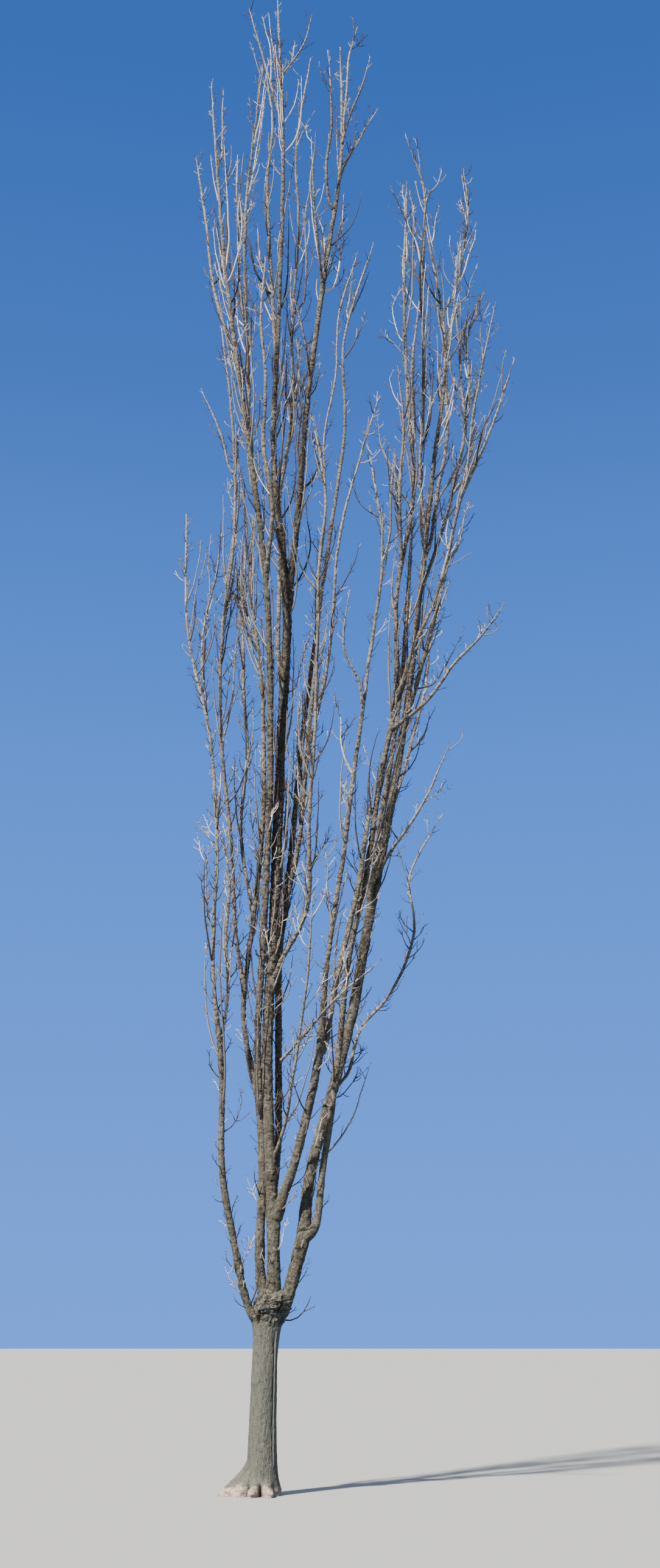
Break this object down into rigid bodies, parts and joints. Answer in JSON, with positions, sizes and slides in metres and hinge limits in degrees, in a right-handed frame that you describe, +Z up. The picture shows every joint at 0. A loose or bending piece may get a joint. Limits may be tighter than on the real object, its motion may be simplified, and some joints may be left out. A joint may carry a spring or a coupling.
{
  "type": "sugar maple",
  "caption": "Tall narrow columnar maple, bare in early spring: a clear bole with a root flare and a swollen fork collar, and steep boughs in two close columns.",
  "frame": {"origin": "centre of the flat cut at ground level under the bole", "axes": "+Z up; +X to the right and +Y away, seen from the front"},
  "size_m": [4.6327, 2.8424, 22.2611],
  "materials": {
    "bole_bark": "rough fissured bark",
    "bough_bark": "rough bark",
    "shoot_bark": "smooth matte bark"
  },
  "bodies": {
    "root": {"trunk": "bole_bark", "leader": "bough_bark", "bough_inner_left": "bough_bark", "bough_low_left": "bough_bark", "shoot_low_left_twin": "shoot_bark", "shoot_left_tall": "shoot_bark", "bough_mid_left": "bough_bark", "bough_outer_left": "bough_bark", "shoot_left_crest": "shoot_bark", "shoot_green_tip": "shoot_bark", "bough_green_fork": "bough_bark", "bough_far_left": "bough_bark", "bough_green_inner": "bough_bark", "shoot_green_inner": "shoot_bark", "bough_leader_left": "bough_bark", "bough_behind": "bough_bark", "shoot_behind": "shoot_bark", "shoot_top_left": "shoot_bark", "shoot_top_right": "shoot_bark", "bough_partner": "bough_bark", "shoot_partner_left": "bough_bark", "shoot_partner_high": "shoot_bark", "shoot_partner_mid": "shoot_bark", "shoot_partner_right": "shoot_bark", "shoot_partner_front": "shoot_bark", "shoot_partner_inner": "shoot_bark", "bough_elbow": "bough_bark", "bough_dark": "bough_bark", "bough_lit": "bough_bark", "shoot_lit_high": "shoot_bark", "stub_broken": "bough_bark", "bough_lit_right": "bough_bark", "shoot_centre_thin": "shoot_bark", "shoot_diagonal": "shoot_bark", "bough_right_inner": "bough_bark", "bough_right_twin": "bough_bark", "shoot_right_inner": "shoot_bark", "shoot_right_inner_high": "shoot_bark", "bough_right": "bough_bark", "bough_right_middle": "bough_bark", "bough_right_crest": "bough_bark", "shoot_right_crest": "shoot_bark", "bough_right_side": "bough_bark", "shoot_right_peak": "bough_bark", "bough_right_back": "bough_bark", "shoot_right_back": "shoot_bark", "bough_right_far": "bough_bark", "shoot_right_far": "bough_bark", "shoot_right_bow": "shoot_bark", "shoot_right_low": "shoot_bark", "shoot_right_heart": "shoot_bark", "bough_left_fork": "bough_bark", "bough_right_lit": "bough_bark", "shoot_inner_left": "shoot_bark", "shoot_right_fork": "shoot_bark", "shoot_right_mid": "bough_bark", "shoot_right_left": "bough_bark", "bough_right_arch": "bough_bark", "bough_right_slant": "bough_bark"}
  },
  "joints": []
}
